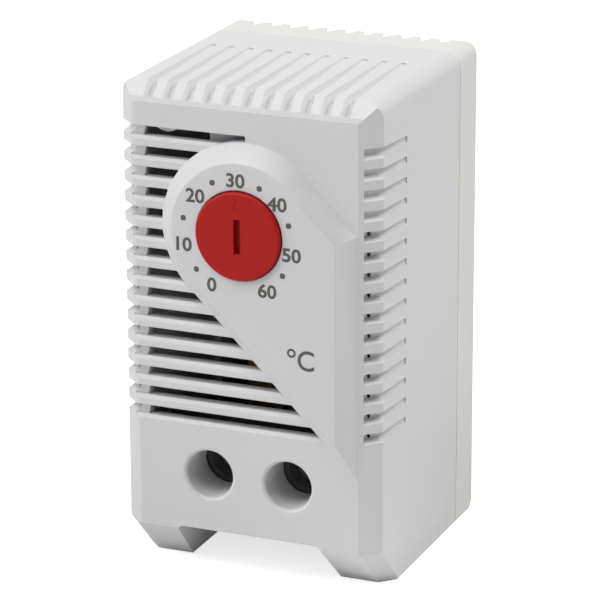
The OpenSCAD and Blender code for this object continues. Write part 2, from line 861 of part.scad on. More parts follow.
module pivot_pin() {
  head_d = pivot_d + 2 * pin_head;
  color("#C4C7CA") {
    rod_x(pivot_d, -plate_x - fit, plate_x + fit, pivot_y, pivot_z);
    rod_x(head_d, plate_x, plate_x + pin_head, pivot_y, pivot_z);
    rod_x(head_d, -plate_x - pin_head, -plate_x, pivot_y, pivot_z);
  }
}

module setting_arm() {
  back = arm_y + sheet;
  color("#AEB2B5") difference() {
    union() {
      block([-arm_x, arm_y, arm_low], [arm_x, back, pivot_z - arm_neck]);
      both_sides() {
        rod_x(pivot_d + 2 * loop_t, loop_x, loop_x + loop_w, pivot_y, pivot_z);
        block([loop_x, arm_y, pivot_z - arm_neck - eps], [loop_x + loop_w, back, pivot_z]);
      }
    }
    rod_x(pivot_d + 2 * spindle_clear, -arm_x - over, arm_x + over, pivot_y, pivot_z);
    for (z = [rivet_hi, rivet_lo])
      rod_y(rivet_d + 2 * snug, arm_y - over, back + over, 0, z);
  }
}

// Torsion spring on the pivot pin, one leg on the arm and one on the frame
module arm_spring() {
  sides = 8;
  steps = 16;
  r = spring_r;
  wire_r = spring_wire / 2;
  x0 = loop_x + loop_w + fit + wire_r;
  pitch = min(spring_wire + snug, (cheek_in - x0 - wire_r - fit) / spring_turns);
  count = ceil(spring_turns * steps);
  leg_y = arm_y + sheet + wire_r;
  coil = [for (i = [0 : count]) [x0 + pitch * spring_turns * i / count,
    pivot_y + r * cos(360 * spring_turns * i / count),
    pivot_z - r * sin(360 * spring_turns * i / count)]];
  last = coil[count];
  path = concat([[x0, leg_y, pivot_z - r - leg_len], [x0, leg_y, pivot_z - r]], coil,
    [[last[0], pivot_y, pivot_z + r], [last[0], frame_y - fit, pivot_z + r]]);
  n = len(path);
  function dir(i) = let (d = path[min(i + 1, n - 1)] - path[max(i - 1, 0)]) d / norm(d);
  function ring(i) = let (d = dir(i), u = cross(d, [1, 0.001, 0]), un = u / norm(u), v = cross(d, un))
    [for (k = [0 : sides - 1]) path[i] + wire_r * (cos(360 * k / sides) * un + sin(360 * k / sides) * v)];
  points = [for (i = [0 : n - 1]) each ring(i)];
  faces = concat(
    [for (i = [0 : n - 2], k = [0 : sides - 1]) [i * sides + k, i * sides + (k + 1) % sides,
      (i + 1) * sides + (k + 1) % sides, (i + 1) * sides + k]],
    [[for (k = [sides - 1 : -1 : 0]) k]],
    [[for (k = [0 : sides - 1]) (n - 1) * sides + k]]);
  color("#8F9396") polyhedron(points, faces);
}

module arm_rivets() {
  back = bimetal_y + bimetal_t;
  color("#B5AC9A") for (z = [rivet_hi, rivet_lo]) {
    rod_y(rivet_d, arm_y - eps, back + eps, 0, z);
    rod_y(rivet_head, arm_y - rivet_head_t, arm_y, 0, z);
    rod_y(rivet_head, back, back + rivet_head_t, 0, z);
  }
}

module bimetal_strip() {
  color("#B9A58C") difference() {
    block([-bimetal_w / 2, bimetal_y, bimetal_z],
      [bimetal_w / 2, bimetal_y + bimetal_t, bimetal_top]);
    for (z = [rivet_hi, rivet_lo])
      rod_y(rivet_d + 2 * snug, bimetal_y - over, bimetal_y + bimetal_t + over, 0, z);
    rod_y(rivet_d, bimetal_y - over, bimetal_y + bimetal_t + over, 0, pusher_z);
  }
}

module bimetal_pusher() {
  back = bimetal_y + bimetal_t;
  cone_start = pusher_end - pusher_tip;
  color("#E8E4DA") {
    rod_y(pusher_d + pusher_head, bimetal_y - pusher_head, bimetal_y, 0, pusher_z);
    rod_y(rivet_d - 2 * snug, bimetal_y - eps, back + eps, 0, pusher_z);
    rod_y(pusher_d, back, cone_start, 0, pusher_z);
    cone_y(pusher_d, pusher_d - 2 * pusher_tip, cone_start, pusher_end, 0, pusher_z);
  }
}

module contact_spring() {
  half = leaf_w / 2;
  low = leaf_foot_z - leaf_end;
  neck = contact_z - arm_half;
  high = contact_z + arm_half;
  color("#C79A5B") difference() {
    along_y(leaf_y, leaf_y + leaf_t)
      polygon([[-half, low], [half, low], [half, neck], [half - leaf_taper, high],
        [leaf_taper - half, high], [-half, neck]]);
    rod_y(rivet_d + 2 * snug, leaf_y - over, leaf_y + over, 0, leaf_foot_z);
    rod_y(contact_d / 2 + 2 * snug, leaf_y - over, leaf_y + over, 0, contact_z);
    // cuts that leave the snap tongue
    both_sides() block([half - tongue_edge - tongue_cut, leaf_y - over, left_top],
      [half - tongue_edge, leaf_y + over, neck - tongue_cut]);
  }
}

module spring_spacer() {
  color("#C9A24A") difference() {
    rod_y(rivet_d + 2 * cage_t, plate_back, leaf_y, 0, leaf_foot_z);
    rod_y(rivet_d + 2 * snug, plate_back - over, leaf_y + over, 0, leaf_foot_z);
  }
}

module spring_rivet() {
  back = leaf_y + leaf_t;
  color("#B5AC9A") {
    rod_y(rivet_d, plate_y - eps, back + eps, 0, leaf_foot_z);
    rod_y(rivet_head, plate_y - rivet_head_t, plate_y, 0, leaf_foot_z);
    rod_y(rivet_head, back, back + rivet_head_t, 0, leaf_foot_z);
  }
}

module moving_contact() {
  front = plate_back + fixed_head + contact_gap;
  back = leaf_y + leaf_t;
  color("#D8D8D4") {
    rod_y(contact_d, front, leaf_y, 0, contact_z);
    rod_y(contact_d / 2, leaf_y - eps, back + eps, 0, contact_z);
    rod_y(contact_d * 0.8, back, back + rivet_tail, 0, contact_z);
  }
}

module fixed_contact() {
  color("#D8D8D4") {
    rod_y(contact_d * 1.1, plate_back, plate_back + fixed_head, 0, contact_z);
    rod_y(contact_d / 2, plate_y - eps, plate_back + eps, 0, contact_z);
    rod_y(contact_d * 0.8, plate_y - rivet_tail, plate_y, 0, contact_z);
  }
}

module terminal_plate_left() {
  low = carrier_top - plate_lap;
  color("#C9A24A") difference() {
    union() {
      block([-term_x - tab_w / 2, plate_y, tab_z], [-term_x + tab_w / 2, plate_back, left_top]);
      block([-term_x - tab_w / 2, plate_y, low], [left_reach, plate_back, left_top]);
    }
    rod_y(rivet_d + 2 * snug, plate_y - over, plate_back + over, 0, leaf_foot_z);
  }
}

module terminal_plate_right() {
  low = carrier_top - plate_lap;
  right = term_x + right_reach;
  color("#C9A24A") difference() {
    union() {
      block([term_x - tab_w / 2, plate_y, tab_z], [term_x + tab_w / 2, plate_back, carrier_top - fit]);
      block([term_x, plate_y, low], [right, plate_back, contact_z + arm_half]);
      block([-left_reach, plate_y, contact_z - arm_half], [right, plate_back, contact_z + arm_half]);
    }
    rod_y(contact_d / 2 + 2 * snug, plate_y - over, plate_back + over, 0, contact_z);
  }
}

module terminal_screw() {
  neck = shank_end - tip_step;
  blade = screw_head_d * 0.36;
  color("#C2C4C6") difference() {
    union() {
      rod_y(screw_head_d, head_y, head_y + head_t, term_x, term_z);
      rod_y(screw_d, head_y + head_t - eps, neck, term_x, term_z);
      cone_y(screw_d, screw_d - 2 * tip_step, neck, shank_end, term_x, term_z);
    }
    block([term_x - head_slot / 2, head_y - over, term_z - screw_head_d],
      [term_x + head_slot / 2, head_y + head_slot_depth, term_z + screw_head_d]);
    block([term_x - blade, head_y - over, term_z - head_slot / 2],
      [term_x + blade, head_y + head_slot_depth, term_z + head_slot / 2]);
  }
}
module terminal_screw_left() {
  translate([-term_pitch, 0, 0]) terminal_screw();
}
module terminal_screw_right() {
  terminal_screw();
}

module clamp_cage() {
  x0 = term_x - cage_w / 2;
  x1 = term_x + cage_w / 2;
  color("#C6A850") difference() {
    block([x0, cage_front, cage_z], [x1, cage_back, cage_z + cage_h]);
    block([x0 + cage_t, cage_front + cage_wall, cage_z - over],
      [x1 - cage_t, cage_inner, cage_z + cage_h + over]);
    rod_y(screw_d + 2 * screw_clear, cage_front - over, cage_front + cage_wall + over, term_x, term_z);
  }
}
module clamp_cage_left() {
  translate([-term_pitch, 0, 0]) clamp_cage();
}
module clamp_cage_right() {
  clamp_cage();
}

// Everything is drawn from the front face and set so that y is centred
module place() {
  translate([0, front_y, 0]) children();
}

place() front_housing();
place() rear_cover();
place() contact_carrier();
place() setting_knob();
place() adjusting_spindle();
place() spindle_nut();
place() mechanism_frame();
place() frame_screws();
place() pivot_pin();
place() setting_arm();
place() arm_spring();
place() arm_rivets();
place() bimetal_strip();
place() bimetal_pusher();
place() contact_spring();
place() spring_spacer();
place() spring_rivet();
place() moving_contact();
place() fixed_contact();
place() terminal_plate_left();
place() terminal_plate_right();
place() terminal_screw_left();
place() terminal_screw_right();
place() clamp_cage_left();
place() clamp_cage_right();
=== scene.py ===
"""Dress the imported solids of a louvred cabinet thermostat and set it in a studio."""
import json
import math

import bmesh
import bpy
from bpy.props import (
    FloatProperty,
    FloatVectorProperty,
    IntProperty,
    PointerProperty,
)
from mathutils import Matrix, Vector


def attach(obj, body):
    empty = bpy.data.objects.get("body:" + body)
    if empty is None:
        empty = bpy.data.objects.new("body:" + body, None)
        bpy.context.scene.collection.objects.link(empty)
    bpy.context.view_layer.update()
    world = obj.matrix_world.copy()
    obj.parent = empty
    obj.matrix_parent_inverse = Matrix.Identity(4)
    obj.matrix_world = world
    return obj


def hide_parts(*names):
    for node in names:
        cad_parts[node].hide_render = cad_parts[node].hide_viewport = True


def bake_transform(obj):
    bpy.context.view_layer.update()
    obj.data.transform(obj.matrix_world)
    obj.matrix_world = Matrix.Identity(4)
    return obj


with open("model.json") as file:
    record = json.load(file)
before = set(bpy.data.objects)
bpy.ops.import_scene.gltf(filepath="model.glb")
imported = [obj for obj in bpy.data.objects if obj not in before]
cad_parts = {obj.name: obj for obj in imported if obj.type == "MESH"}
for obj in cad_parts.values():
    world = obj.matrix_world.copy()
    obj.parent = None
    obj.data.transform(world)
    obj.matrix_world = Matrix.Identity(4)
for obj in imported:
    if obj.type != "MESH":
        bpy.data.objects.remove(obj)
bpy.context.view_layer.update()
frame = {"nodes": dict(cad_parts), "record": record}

bl_info = {
    "name": "Cabinet thermostat dressing",
    "version": (1, 0, 0),
    "blender": (4, 5, 0),
    "location": "View3D > Sidebar > Thermostat",
    "description": "Moulded finish, dial print and studio for a louvred cabinet thermostat",
    "category": "Object",
}

MM = 0.001

# Place of the front face in the shared frame, in mm
FRONT_Y = -18.9

# Plane of the dial field, in mm from the front face, and height of the knob's axis above the floor
DIAL_Y = -2.0
DIAL_Z = 44.0

# Middles of the numerals, the dots and the two parts of the unit sign, in mm from the knob's axis
NUMERALS = (("0", -3.5, -6.3), ("10", -7.0, -1.75), ("20", -5.5, 4.3), ("30", -0.35, 6.65),
            ("40", 4.85, 4.35), ("50", 6.65, -1.6), ("60", 3.55, -6.3))
DOTS = ((-5.45, -4.65), (-7.05, 1.45), (-3.3, 6.1), (2.65, 6.0), (6.3, 1.95), (5.5, -4.2))
UNIT_RING = (6.57, -13.5)
UNIT_LETTER = (8.4, -14.25)

# Radii of the ring in the unit sign, and the steps round it
RING_OUTER = 0.56 * MM
RING_INNER = 0.3 * MM
RING_STEPS = 32

# Corners of a letter nearer than this, per em, are one
LETTER_MERGE = 1e-5

# A thickened corner moves out by one over this, times the thickening, at most
MITRE_LIMIT = 0.6

# Corners of a solid nearer than this are one
SOLID_MERGE = 0.001 * MM

# Faces that meet within this angle, in degrees, count as one flat face
FLAT_ANGLE = 0.5

# Edges sharper than this, in degrees, are rounded
ROUNDED_ANGLE = 25

# Edges sharper than this, in degrees, stay creased in the shading unless they are rounded
SHARP_ANGLE = 14

# Widest angle, in degrees, that the shading runs across after the rounding
STEP_ANGLE = 31

# Faces that meet at more than this angle, in degrees, have folded over
FOLD_ANGLE = 140

# Corners within this many radii of a fold stay sharp in the next try
FOLD_REACH = 4

# Most tries at rounding a mesh
ROUNDING_PASSES = 5

# Corners on an edge shorter than this stay sharp
CASE_SHORT = 0.3 * MM
COVER_SHORT = 0.1 * MM
KNOB_SHORT = 0.1 * MM
WORKS_SHORT = 0.12 * MM

# Rounding of the knob and of the works, and the faces across it
KNOB_EDGE = 0.1 * MM
KNOB_STEPS = 4
WORKS_EDGE = 0.05 * MM
WORKS_STEPS = 3

# Hair of air between the pieces of the works, so that faces that rest on each other stay apart
HAIR_GAP = 0.005 * MM

# Springs that bend: the bodies that hold their ends, and the heights in mm between which they bend
BENDS = {
    "arm_spring": ("root", "setting_arm", 55.9, 53.6),
    "bimetal_strip": ("setting_arm", "bimetal", 46.5, 40.0),
    "contact_spring": ("root", "contact", 22.6, 25.5),
}

# Cuts across a spring, spread evenly over the heights where it bends
BEND_CUTS = 7

# Length of the slow shading in a moulding, and its weight against the grit
FLOW_SIZE = 14 * MM
FLOW_WEIGHT = 0.7

# Distance from the middle of the floor to its edges, in metres
FLOOR_REACH = 2.0

# Glow that lifts the lit floor to white where it is seen, and the weaker one where it is mirrored
FLOOR_GLOW = 0.7
MIRRORED_GLOW = 0.2

# Softboxes, in metres: their width, the point they face, and each one's name, setting and place
LAMP_WIDTH = 0.4
LAMP_AIM = (0, 0, 0.03)
LAMPS = (("Front softbox", "front", (-0.15, -0.34, 0.66)),
         ("Right softbox", "right", (0.42, 0.14, 0.56)),
         ("Left softbox", "left", (-0.55, -0.3, 0.3)))

# Camera: its angles round, up and rolled in degrees, the point it is set out from and how far, in mm
CAMERA_ROUND = 22.832
CAMERA_UP = 18.1
CAMERA_ROLL = -0.21
CAMERA_TARGET = (0, 17.85078, 30.9934245)
CAMERA_DISTANCE = 415.427319

# Camera: lens and sensor width in mm, the shift as a share of the picture, the nearest view in metres
CAMERA_LENS = 203.86
CAMERA_SENSOR = 36.0
CAMERA_SHIFT = (-0.00878, -0.01065)
CAMERA_NEAREST = 0.01


def hex_linear(text):
    """Turn an sRGB hex colour into linear RGBA."""
    value = text.lstrip("#")
    channels = [int(value[i:i + 2], 16) / 255 for i in (0, 2, 4)]
    linear = [c / 12.92 if c <= 0.04045 else ((c + 0.055) / 1.055) ** 2.4 for c in channels]
    return (*linear, 1.0)


def srgb(text):
    """Linear RGB of an sRGB hex colour."""
    return hex_linear(text)[:3]


def place(x, y, z):
    """A point of the shared frame, from mm right of the middle, behind the front face and up."""
    return Vector((x, y + FRONT_Y, z)) * MM


class MouldingSettings(bpy.types.PropertyGroup):
    """Sizes and colours of the moulded case."""

    edge: FloatProperty(name="Edge radius", description="Rounding of the moulded edges",
                        default=0.14 * MM, min=0.0, unit="LENGTH", subtype="DISTANCE")
    steps: IntProperty(name="Edge steps", description="Faces across a rounded edge",
                       default=3, min=1, max=6)
    grit: FloatProperty(name="Grit", description="Size of the eroded mould texture",
                        default=0.22 * MM, unit="LENGTH", subtype="DISTANCE")
    case: FloatVectorProperty(name="Case colour", description="Light grey of the front housing",
                              default=srgb("#D3D3D4"), size=3, subtype="COLOR")
    cover: FloatVectorProperty(name="Cover colour", description="Light grey of the rear cover",
                               default=srgb("#D8D8D4"), size=3, subtype="COLOR")
    carrier: FloatVectorProperty(name="Carrier colour", description="Dark grey of the inner carrier",
                                 default=srgb("#3A3B3D"), size=3, subtype="COLOR")


class DialSettings(bpy.types.PropertyGroup):
    """Sizes and colours of the knob and its scale."""

    height: FloatProperty(name="Numeral height", description="Height of the numerals",
                          default=1.72 * MM, unit="LENGTH", subtype="DISTANCE")
    weight: FloatProperty(name="Numeral weight", description="Thickening of the numerals, per em",
                          default=0.026, min=0.0)
    width: FloatProperty(name="Numeral width", description="Widening of the numerals",
                         default=1.06, min=0.5)
    unit: FloatProperty(name="Unit height", description="Height of the unit letter",
                        default=2.5 * MM, unit="LENGTH", subtype="DISTANCE")
    unit_weight: FloatProperty(name="Unit weight", description="Thickening of the unit letter, per em",
                               default=0.01, min=0.0)
    unit_width: FloatProperty(name="Unit width", description="Widening of the unit letter",
                              default=0.95, min=0.5)
    dot: FloatProperty(name="Dot size", description="Width of the dots between the numerals",
                       default=0.66 * MM, unit="LENGTH", subtype="DISTANCE")
    ink_depth: FloatProperty(name="Ink depth", description="How far the print stands proud",
                             default=0.02 * MM, unit="LENGTH", subtype="DISTANCE")
    knob: FloatVectorProperty(name="Knob colour", description="Red of the setting knob",
                              default=srgb("#AC1610"), size=3, subtype="COLOR")
    ink: FloatVectorProperty(name="Ink colour", description="Dark grey of the printed scale",
                             default=srgb("#55534F"), size=3, subtype="COLOR")


class StudioSettings(bpy.types.PropertyGroup):
    """Light levels of the studio."""

    ambient: FloatProperty(name="Ambient", description="Strength of the even light all round",
                           default=0.05, min=0.0)
    front: FloatProperty(name="Front lamp", description="Power of the softbox high in front",
                         default=3.0, min=0.0, unit="POWER")
    right: FloatProperty(name="Right lamp", description="Power of the softbox high on the right",
                         default=3.15, min=0.0, unit="POWER")
    left: FloatProperty(name="Left lamp", description="Power of the softbox on the left",
                        default=1.65, min=0.0, unit="POWER")


def node(tree, kind, inputs=None, **settings):
    """Add a shader node, set its options, and set or link its inputs."""
    made = tree.nodes.new(kind)
    for key, value in settings.items():
        setattr(made, key, value)
    for key, value in (inputs or {}).items():
        if isinstance(value, bpy.types.NodeSocket):
            tree.links.new(value, made.inputs[key])
        else:
            made.inputs[key].default_value = value
    return made


def new_material(name):
    """An empty node material with its output."""
    material = bpy.data.materials.new(name)
    material.use_nodes = True
    material.node_tree.nodes.clear()
    tree = material.node_tree
    return material, tree, node(tree, "ShaderNodeOutputMaterial")


def shades(colour, low, high):
    """Two shades of a colour, as RGBA."""
    dark = (*[c * low for c in colour[:3]], 1.0)
    light = (*[min(c * high, 1.0) for c in colour[:3]], 1.0)
    return dark, light


def moulded(name, colour, grit, rough, depth, ior=1.57, spread=0.03):
    """Fine even grit over a slow change of tone, with a low gloss, as a mould leaves it."""
    material, tree, output = new_material(name)
    where = node(tree, "ShaderNodeTexCoord").outputs["Object"]
    flow = node(tree, "ShaderNodeTexNoise", {"Vector": where, "Scale": 1 / FLOW_SIZE, "Detail": 2.0})
    grain = node(tree, "ShaderNodeTexNoise", {"Vector": where, "Scale": 1 / grit, "Detail": 3.0,
                                              "Roughness": 0.6})
    blend = node(tree, "ShaderNodeMath", {0: flow.outputs["Fac"], 1: FLOW_WEIGHT,
                                          2: grain.outputs["Fac"]}, operation="MULTIPLY_ADD")
    dark, light = shades(colour, 1 - spread, 1 + spread)
    tone = node(tree, "ShaderNodeMapRange", {"Value": blend.outputs[0], "From Min": 0.55,
                                             "From Max": 1.15})
    paint = node(tree, "ShaderNodeMix", {"Factor": tone.outputs["Result"], 6: dark, 7: light},
                 data_type="RGBA")
    gloss = node(tree, "ShaderNodeMapRange", {"Value": grain.outputs["Fac"],
                                              "To Min": rough - 0.05, "To Max": rough + 0.07})
    bump = node(tree, "ShaderNodeBump", {"Height": grain.outputs["Fac"], "Strength": 0.35,
                                         "Distance": depth})
    shader = node(tree, "ShaderNodeBsdfPrincipled", {
        "Base Color": paint.outputs[2], "Roughness": gloss.outputs["Result"],
        "Normal": bump.outputs["Normal"], "IOR": ior})
    tree.links.new(shader.outputs[0], output.inputs["Surface"])
    return material


def metal(name, colour, rough, grain, stretch=(1, 1, 1), spread=0.08):
    """Worked metal, whose marks vary its gloss and tone and are drawn coarse enough to show."""
    material, tree, output = new_material(name)
    where = node(tree, "ShaderNodeTexCoord").outputs["Object"]
    turned = node(tree, "ShaderNodeMapping", {"Vector": where, "Scale": stretch})
    marks = node(tree, "ShaderNodeTexNoise", {"Vector": turned.outputs["Vector"], "Scale": 1 / grain,
                                              "Detail": 4.0, "Roughness": 0.65})
    dark, light = shades(colour, 1 - spread, 1 + spread)
    paint = node(tree, "ShaderNodeMix", {"Factor": marks.outputs["Fac"], 6: dark, 7: light},
                 data_type="RGBA")
    gloss = node(tree, "ShaderNodeMapRange", {"Value": marks.outputs["Fac"], "From Min": 0.3,
                                              "From Max": 0.7, "To Min": rough - 0.08,
                                              "To Max": rough + 0.1})
    bump = node(tree, "ShaderNodeBump", {"Height": marks.outputs["Fac"], "Strength": 0.2,
                                         "Distance": 0.01 * MM})
    shader = node(tree, "ShaderNodeBsdfPrincipled", {
        "Base Color": paint.outputs[2], "Roughness": gloss.outputs["Result"],
        "Normal": bump.outputs["Normal"], "Metallic": 1.0})
    tree.links.new(shader.outputs[0], output.inputs["Surface"])
    return material


def cad_mesh(name):
    """A merged bmesh copy of a CAD node, with its flat faces joined up."""
    mesh = bmesh.new()
    mesh.from_mesh(frame["nodes"][name].data)
    bmesh.ops.remove_doubles(mesh, verts=mesh.verts, dist=SOLID_MERGE)
    bmesh.ops.dissolve_limit(mesh, angle_limit=math.radians(FLAT_ANGLE), verts=mesh.verts,
                             edges=mesh.edges)
    return mesh


def crease(mesh, angle, rounded=()):
    """Mark the edges over an angle in degrees, which the shading must not run across."""
    for edge in mesh.edges:
        if edge not in rounded and edge.calc_face_angle(0) > math.radians(angle):
            edge.smooth = False


def rounded_mesh(name, radius, steps, short):
    """A copy of a CAD node with rounded edges, left sharp where the rounding would fold."""
    folds = []
    for _ in range(ROUNDING_PASSES):
        mesh = cad_mesh(name)
        fine = {v for e in mesh.edges if e.calc_length() < short for v in e.verts}
        near = {v for v in mesh.verts if any((v.co - f).length < FOLD_REACH * radius for f in folds)}
        keep = fine | near
        edges = [e for e in mesh.edges if e.calc_face_angle(0) > math.radians(ROUNDED_ANGLE)
                 and not keep.intersection(e.verts)]
        crease(mesh, SHARP_ANGLE, set(edges))
        bmesh.ops.bevel(mesh, geom=edges, offset=radius, offset_type="OFFSET", segments=steps,
                        profile=0.5, affect="EDGES", clamp_overlap=False, material=-1)
        bmesh.ops.triangulate(mesh, faces=[f for f in mesh.faces if len(f.verts) > 4])
        crease(mesh, STEP_ANGLE)
        found = [v.co.copy() for e in mesh.edges if e.calc_face_angle(0) > math.radians(FOLD_ANGLE)
                 for v in e.verts]
        if not found:
            break
        folds.extend(found)
    return mesh


def flat_areas(mesh):
    """The area of the flat region that each face belongs to."""
    areas = {}
    for first in mesh.faces:
        if first in areas:
            continue
        region = {first}
        waiting = [first]
        while waiting:
            for edge in waiting.pop().edges:
                if edge.calc_face_angle(math.pi) < math.radians(FLAT_ANGLE):
                    fresh = [f for f in edge.link_faces if f not in region]
                    region.update(fresh)
                    waiting.extend(fresh)
        total = sum(f.calc_area() for f in region)
        areas.update((f, total) for f in region)
    return areas


def smooth_fan(corner):
    """The faces round a corner's vertex that the shading runs across."""
    fan = {corner.face}
    waiting = [corner.face]
    while waiting:
        face = waiting.pop()
        for edge in face.edges:
            if edge.smooth and corner.vert in edge.verts:
                fresh = [f for f in edge.link_faces if f not in fan]
                fan.update(fresh)
                waiting.extend(fresh)
    return fan


def corner_normals(mesh):
    """One normal per corner, in which the broad flat faces stay flat beside rounded edges."""
    mesh.normal_update()
    for face in mesh.faces:
        face.smooth = True
    areas = flat_areas(mesh)
    return [sum((f.normal * areas[f] for f in smooth_fan(corner)), Vector()).normalized()
            for face in mesh.faces for corner in face.loops]


def finish_piece(mesh, name, material, body, nodes=(), bend=None):
    """Turn a bmesh into a smooth-shaded piece that rides on a body, or, for a spring, stays fixed in the
    shared frame.
    """
    data = bpy.data.meshes.new(name)
    normals = corner_normals(mesh)
    mesh.to_mesh(data)
    mesh.free()
    data.normals_split_custom_set(normals)
    data.materials.append(material)
    piece = bpy.data.objects.new(name, data)
    bpy.context.scene.collection.objects.link(piece)
    if bend:
        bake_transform(piece)
    else:
        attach(piece, body)
    if nodes:
        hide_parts(*nodes)


class THERMOSTAT_OT_mouldings(bpy.types.Operator):
    """Round the edges of the housing, the cover and the carrier and give them their finish"""

    bl_idname = "thermostat.mouldings"
    bl_label = "Mouldings"

    def execute(self, context):
        sizes = context.scene.thermostat_moulding
        # ABS moulded in a spark-eroded tool: matt and even; its grit is drawn coarser, so that it shows
        case = moulded("Moulded ABS light grey", sizes.case, sizes.grit, rough=0.5, depth=0.02 * MM)
        shell = rounded_mesh("front_housing", sizes.edge, sizes.steps, CASE_SHORT)
        finish_piece(shell, "housing_shell", case, "root", ["front_housing"])
        # The same ABS in the cover: as matt, a little paler and warmer
        cover = moulded("Moulded ABS cover grey", sizes.cover, sizes.grit, rough=0.5, depth=0.02 * MM)
        back = rounded_mesh("rear_cover", sizes.edge, sizes.steps, COVER_SHORT)
        finish_piece(back, "cover_shell", cover, "root", ["rear_cover"])
        # PBT with glass: dark, duller and slightly cloudy
        dark = moulded("Moulded PBT dark grey", sizes.carrier, sizes.grit, rough=0.55, depth=0.02 * MM,
                       spread=0.15)
        block = rounded_mesh("contact_carrier", sizes.edge, sizes.steps, CASE_SHORT)
        finish_piece(block, "carrier_block", dark, "root", ["contact_carrier"])
        return {"FINISHED"}


class THERMOSTAT_OT_knob(bpy.types.Operator):
    """Round the edges of the setting knob and colour it"""

    bl_idname = "thermostat.knob"
    bl_label = "Setting knob"

    def execute(self, context):
        dial = context.scene.thermostat_dial
        # Polyamide moulded in a fine satin tool: full red, with a gloss kept weak by a low IOR;
        # its grit is drawn coarser than the tool's, so that it shows
        red = moulded("Moulded polyamide red", dial.knob, grit=0.3 * MM, rough=0.5, depth=0.006 * MM,
                      ior=1.3, spread=0.05)
        mesh = rounded_mesh("setting_knob", KNOB_EDGE, KNOB_STEPS, KNOB_SHORT)
        finish_piece(mesh, "knob_cap", red, "knob", ["setting_knob"])
        return {"FINISHED"}


class THERMOSTAT_OT_dial_print(bpy.types.Operator):
    """Print the scale, its dots and the unit on the dial field"""

    bl_idname = "thermostat.dial_print"
    bl_label = "Dial print"

    def execute(self, context):
        dial = context.scene.thermostat_dial
        mesh = bmesh.new()
        for text, x, z in NUMERALS:
            self.letters(mesh, text, x, z, dial.height, dial.weight, dial.width)
        self.letters(mesh, "C", *UNIT_LETTER, dial.unit, dial.unit_weight, dial.unit_width)
        self.ring(mesh, *UNIT_RING)
        for x, z in DOTS:
            self.dot(mesh, x, z, dial.dot)
        flat = list(mesh.faces)
        if not flat:
            raise RuntimeError("the dial print has no faces")
        proud = bmesh.ops.extrude_face_region(mesh, geom=flat)
        moved = [v for v in proud["geom"] if isinstance(v, bmesh.types.BMVert)]
        bmesh.ops.translate(mesh, verts=moved, vec=(0, -dial.ink_depth, 0))
        bmesh.ops.recalc_face_normals(mesh, faces=mesh.faces)
        crease(mesh, SHARP_ANGLE)
        # Pad-printed ink: thin, matt, with a slightly uneven film
        ink = moulded("Pad printed ink", dial.ink, grit=0.15 * MM, rough=0.6, depth=0.004 * MM,
                      ior=1.5, spread=0.12)
        finish_piece(mesh, "dial_print", ink, "root")
        return {"FINISHED"}

    def stand(self, mesh, verts, x, z, height=None, width=1.0):
        """Centre a flat shape, scale it to a height if one is given and stand it on the dial field."""
        low = Vector([min(v.co[i] for v in verts) for i in range(3)])
        high = Vector([max(v.co[i] for v in verts) for i in range(3)])
        size = height / (high.y - low.y) if height else 1.0
        middle = Matrix.Translation(-(low + high) / 2)
        upright = Matrix.Rotation(math.radians(90), 4, "X")
        there = Matrix.Translation(place(x, DIAL_Y, DIAL_Z + z))
        matrix = there @ upright @ Matrix.Diagonal((size * width, size, size, 1)) @ middle
        bmesh.ops.transform(mesh, matrix=matrix, verts=verts)

    def thicken(self, verts, amount):
        """Move the rim of a flat shape outwards."""
        moves = []
        for vert in verts:
            rims = [edge.link_loops[0] for edge in vert.link_edges if edge.is_boundary]
            ways = [(rim.link_loop_next.vert.co - rim.vert.co).cross(rim.face.normal).normalized()
                    for rim in rims]
            if len(ways) == 2:
                middle = (ways[0] + ways[1]).normalized()
                moves.append((vert, middle * (amount / max(middle.dot(ways[0]), MITRE_LIMIT))))
        for vert, move in moves:
            vert.co += move

    def letters(self, mesh, text, x, z, height, weight, width):
        """Write a text, thicken it and stand it on the dial field."""
        curve = bpy.data.curves.new("letters", "FONT")
        curve.body = text
        curve.resolution_u = 6
        written = bpy.data.objects.new("letters", curve)
        bpy.context.scene.collection.objects.link(written)
        drawn = written.evaluated_get(bpy.context.evaluated_depsgraph_get())
        data = bpy.data.meshes.new_from_object(drawn)
        known = set(mesh.verts)
        mesh.from_mesh(data)
        verts = [v for v in mesh.verts if v not in known]
        bmesh.ops.remove_doubles(mesh, verts=verts, dist=LETTER_MERGE)
        verts = [v for v in mesh.verts if v not in known]
        mesh.normal_update()
        self.thicken(verts, weight)
        self.stand(mesh, verts, x, z, height, width)
        bpy.data.objects.remove(written)
        bpy.data.curves.remove(curve)
        bpy.data.meshes.remove(data)

    def ring(self, mesh, x, z):
        """Spin the ring of the unit sign and stand it on the dial field."""
        known = set(mesh.verts)
        ends = [mesh.verts.new((radius, 0, 0)) for radius in (RING_INNER, RING_OUTER)]
        edge = mesh.edges.new(ends)
        bmesh.ops.spin(mesh, geom=[edge, *edge.verts], cent=(0, 0, 0), axis=(0, 0, 1),
                       angle=math.tau, steps=RING_STEPS, use_merge=True, dvec=(0, 0, 0))
        self.stand(mesh, [v for v in mesh.verts if v not in known], x, z)

    def dot(self, mesh, x, z, size):
        """Stand a dot, a square with rounded corners, on the dial field."""
        known = set(mesh.verts)
        bmesh.ops.create_grid(mesh, x_segments=1, y_segments=1, size=size / 2)
        corners = [v for v in mesh.verts if v not in known]
        bmesh.ops.bevel(mesh, geom=corners, offset=size / 3, offset_type="OFFSET", segments=3,
                        profile=0.5, affect="VERTICES", material=-1)
        self.stand(mesh, [v for v in mesh.verts if v not in known], x, z)


